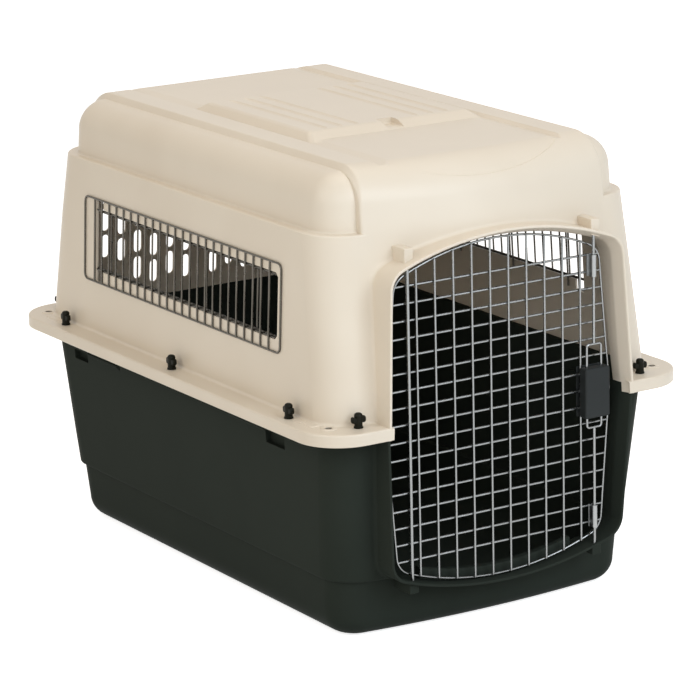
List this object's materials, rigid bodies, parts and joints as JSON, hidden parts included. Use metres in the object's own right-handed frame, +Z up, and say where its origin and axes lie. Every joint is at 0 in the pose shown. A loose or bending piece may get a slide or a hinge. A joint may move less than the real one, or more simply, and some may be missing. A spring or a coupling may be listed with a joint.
{
  "type": "dog crate",
  "caption": "Two-shell plastic dog crate with a hinged wire door, squeeze latch, barred side windows, rear vents and wing nuts round the flange.",
  "frame": {"origin": "centre of the footprint on the ground", "axes": "+Z up, the door faces -Y, +X to the right seen from the front"},
  "size_m": [0.629, 0.9228, 0.684],
  "materials": {
    "beige_plastic": "satin moulded",
    "dark_plastic": "satin moulded",
    "zinc_wire": "bright zinc",
    "zinc_sheet": "zinc",
    "charcoal_plastic": "satin moulded",
    "olive_plastic": "satin moulded"
  },
  "bodies": {
    "crate": {"base_shell": "dark_plastic", "top_shell": "beige_plastic", "side_grille_left": "zinc_wire", "side_grille_right": "zinc_wire", "flange_bolt_left_front": "zinc_sheet", "flange_bolt_left_middle": "zinc_sheet", "flange_bolt_left_rear": "zinc_sheet", "flange_bolt_right_front": "zinc_sheet", "flange_bolt_right_middle": "zinc_sheet", "flange_bolt_right_rear": "zinc_sheet", "flange_bolt_front_left": "zinc_sheet", "flange_bolt_front_right": "zinc_sheet", "flange_bolt_rear_left": "zinc_sheet", "flange_bolt_rear_right": "zinc_sheet"},
    "door": {"door_mesh": "zinc_wire", "door_hinge_rod": "zinc_wire", "latch_housing": "charcoal_plastic", "latch_back_plate": "charcoal_plastic", "upper_bolt_guide": "zinc_sheet", "lower_bolt_guide": "zinc_sheet", "upper_latch_spring": "zinc_wire", "lower_latch_spring": "zinc_wire"},
    "upper_bolt": {"upper_latch_bolt": "zinc_wire"},
    "lower_bolt": {"lower_latch_bolt": "zinc_wire"},
    "wing_nut_left_front": {"wing_nut_left_front": "olive_plastic"},
    "wing_nut_left_middle": {"wing_nut_left_middle": "olive_plastic"},
    "wing_nut_left_rear": {"wing_nut_left_rear": "olive_plastic"},
    "wing_nut_right_front": {"wing_nut_right_front": "olive_plastic"},
    "wing_nut_right_middle": {"wing_nut_right_middle": "olive_plastic"},
    "wing_nut_right_rear": {"wing_nut_right_rear": "olive_plastic"},
    "wing_nut_front_left": {"wing_nut_front_left": "olive_plastic"},
    "wing_nut_front_right": {"wing_nut_front_right": "olive_plastic"},
    "wing_nut_rear_left": {"wing_nut_rear_left": "olive_plastic"},
    "wing_nut_rear_right": {"wing_nut_rear_right": "olive_plastic"}
  },
  "joints": [
    {"name": "door_swing", "type": "hinge", "parent": "crate", "child": "door", "pos_m": [-0.158, -0.43345, 0.3], "axis": [0, 0, -1], "range_deg": [0, 80]},
    {"name": "latch_upper_slide", "type": "slide", "parent": "door", "child": "upper_bolt", "axis": [0, 0, -1], "range_m": [0, 0.022], "stiffness_N_per_m": 300, "springref_m": -0.01, "deforming": ["upper_latch_spring"]},
    {"name": "latch_lower_slide", "type": "slide", "parent": "door", "child": "lower_bolt", "axis": [0, 0, 1], "range_m": [0, 0.012], "stiffness_N_per_m": 300, "springref_m": -0.01, "deforming": ["lower_latch_spring"]},
    {"name": "wing_nut_left_front_turn", "type": "hinge", "parent": "crate", "child": "wing_nut_left_front", "pos_m": [-0.293, -0.333, 0.335], "axis": [0, 0, 1], "continuous": true},
    {"name": "wing_nut_left_middle_turn", "type": "hinge", "parent": "crate", "child": "wing_nut_left_middle", "pos_m": [-0.293, -0.004, 0.335], "axis": [0, 0, 1], "continuous": true},
    {"name": "wing_nut_left_rear_turn", "type": "hinge", "parent": "crate", "child": "wing_nut_left_rear", "pos_m": [-0.293, 0.325, 0.335], "axis": [0, 0, 1], "continuous": true},
    {"name": "wing_nut_right_front_turn", "type": "hinge", "parent": "crate", "child": "wing_nut_right_front", "pos_m": [0.293, -0.333, 0.335], "axis": [0, 0, 1], "continuous": true},
    {"name": "wing_nut_right_middle_turn", "type": "hinge", "parent": "crate", "child": "wing_nut_right_middle", "pos_m": [0.293, -0.004, 0.335], "axis": [0, 0, 1], "continuous": true},
    {"name": "wing_nut_right_rear_turn", "type": "hinge", "parent": "crate", "child": "wing_nut_right_rear", "pos_m": [0.293, 0.325, 0.335], "axis": [0, 0, 1], "continuous": true},
    {"name": "wing_nut_front_left_turn", "type": "hinge", "parent": "crate", "child": "wing_nut_front_left", "pos_m": [-0.241, -0.432, 0.335], "axis": [0, 0, 1], "continuous": true},
    {"name": "wing_nut_front_right_turn", "type": "hinge", "parent": "crate", "child": "wing_nut_front_right", "pos_m": [0.241, -0.432, 0.335], "axis": [0, 0, 1], "continuous": true},
    {"name": "wing_nut_rear_left_turn", "type": "hinge", "parent": "crate", "child": "wing_nut_rear_left", "pos_m": [-0.241, 0.437, 0.335], "axis": [0, 0, 1], "continuous": true},
    {"name": "wing_nut_rear_right_turn", "type": "hinge", "parent": "crate", "child": "wing_nut_rear_right", "pos_m": [0.241, 0.437, 0.335], "axis": [0, 0, 1], "continuous": true}
  ]
}
